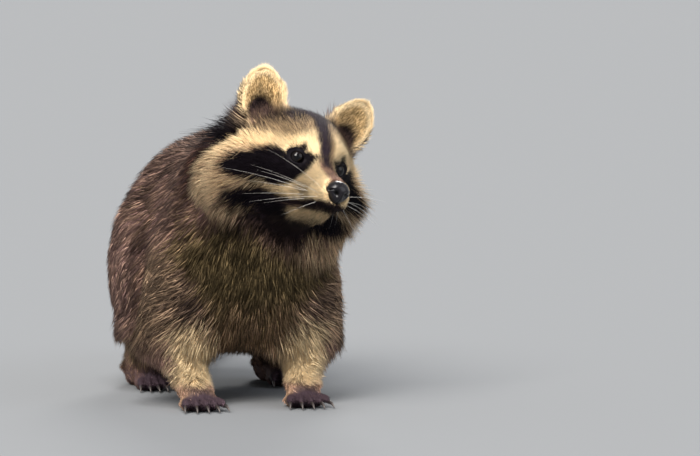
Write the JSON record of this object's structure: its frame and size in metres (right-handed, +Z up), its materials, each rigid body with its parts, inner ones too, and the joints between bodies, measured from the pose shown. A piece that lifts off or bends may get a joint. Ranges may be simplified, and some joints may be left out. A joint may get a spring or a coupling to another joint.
{
  "type": "raccoon",
  "caption": "Life-size still model of a standing young raccoon, head turned and tilted to its left, with a masked face and a bushy ringed tail, resting on the soles of its paws.",
  "frame": {"origin": "middle of the base of the bounding box, on the floor under the belly", "axes": "+X to the animal's left, -Y the way it walks, +Z up"},
  "size_m": [0.2014, 0.5802, 0.2923],
  "materials": {
    "body_coat": "long grizzled fur, dark grey-brown with tan tips, rough",
    "face_coat": "short soft fur, cream with a near-black mask, rough",
    "ear_coat": "short fine cream fur with a dark hollow, rough",
    "paw": "bare dark grey-purple skin, slightly moist",
    "claw": "horn, smooth, half gloss",
    "nose": "wet black leathery skin, glossy",
    "eye": "very dark brown, polished"
  },
  "bodies": {
    "root": {"claw_fore_left_1": "claw", "claw_fore_left_2": "claw", "claw_fore_left_3": "claw", "claw_fore_left_4": "claw", "claw_fore_left_5": "claw", "claw_fore_right_1": "claw", "claw_fore_right_2": "claw", "claw_fore_right_3": "claw", "claw_fore_right_4": "claw", "claw_fore_right_5": "claw", "claw_hind_left_1": "claw", "claw_hind_left_2": "claw", "claw_hind_left_3": "claw", "claw_hind_left_4": "claw", "claw_hind_left_5": "claw", "claw_hind_right_1": "claw", "claw_hind_right_2": "claw", "claw_hind_right_3": "claw", "claw_hind_right_4": "claw", "claw_hind_right_5": "claw", "ear_left": "ear_coat", "ear_right": "ear_coat", "eye_left": "eye", "eye_right": "eye", "forearm_left": "body_coat", "forearm_right": "body_coat", "forepaw_left": "paw", "forepaw_right": "paw", "head": "face_coat", "hindpaw_left": "paw", "hindpaw_right": "paw", "jaw": "face_coat", "neck": "body_coat", "nose": "nose", "shank_left": "body_coat", "shank_right": "body_coat", "tail_middle": "body_coat", "tail_root": "body_coat", "tail_tip": "body_coat", "thigh_left": "body_coat", "thigh_right": "body_coat", "trunk": "body_coat", "upper_arm_left": "body_coat", "upper_arm_right": "body_coat"}
  },
  "joints": []
}
